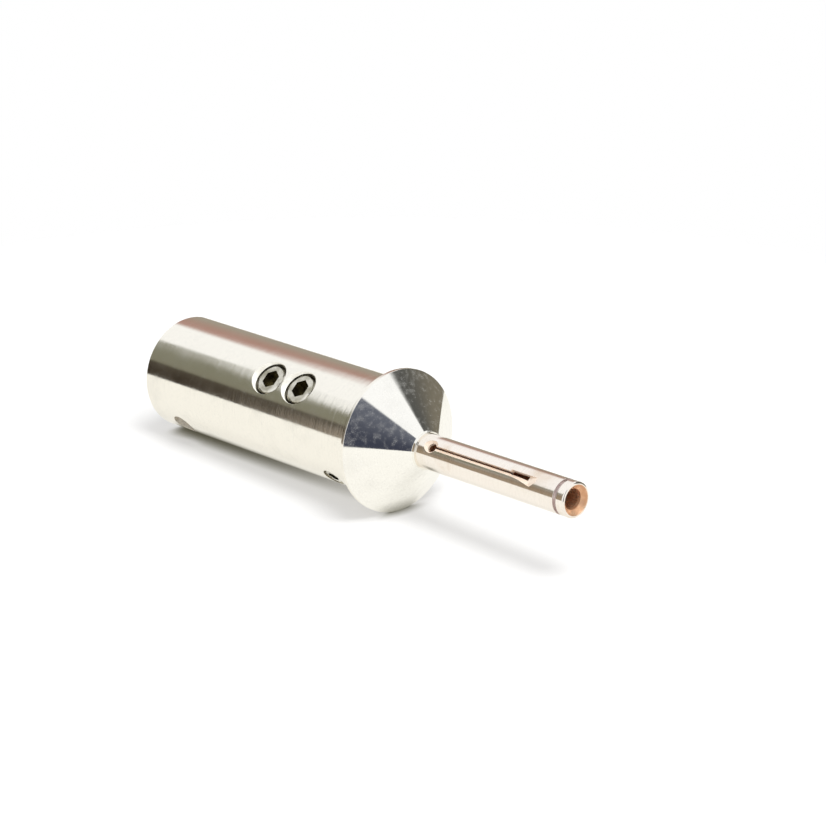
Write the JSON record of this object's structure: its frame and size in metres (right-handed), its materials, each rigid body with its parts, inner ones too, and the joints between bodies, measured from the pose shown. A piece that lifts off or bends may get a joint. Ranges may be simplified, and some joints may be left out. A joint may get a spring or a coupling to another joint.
{
  "type": "banana plug",
  "caption": "Plated metal banana plug: a round barrel with clamp screws for the cable, a rim with a cone, and a hollow slit contact pin.",
  "frame": {"origin": "centre of the barrel's rear face, on which the plug stands", "axes": "+Z along the plug's axis to the tip of the pin, -Y out through the clamp screws, +X out through the lock screw"},
  "size_m": [0.0164, 0.0162, 0.0652],
  "materials": {
    "plated_body": "fine turned, bright nickel plate",
    "plated_pin": "bright plate, bare inside",
    "plated_screw": "bright plate"
  },
  "bodies": {
    "plug": {"barrel": "plated_body", "head": "plated_body", "contact_pin": "plated_pin", "lock_screw": "plated_screw"},
    "rear_clamp": {"clamp_screw_rear": "plated_screw"},
    "front_clamp": {"clamp_screw_front": "plated_screw"}
  },
  "joints": [
    {"name": "rear_clamp_travel", "type": "slide", "parent": "plug", "child": "rear_clamp", "axis": [0, 1, 0], "range_m": [0, 0.002]},
    {"name": "front_clamp_travel", "type": "slide", "parent": "plug", "child": "front_clamp", "axis": [0, 1, 0], "range_m": [0, 0.002]}
  ]
}
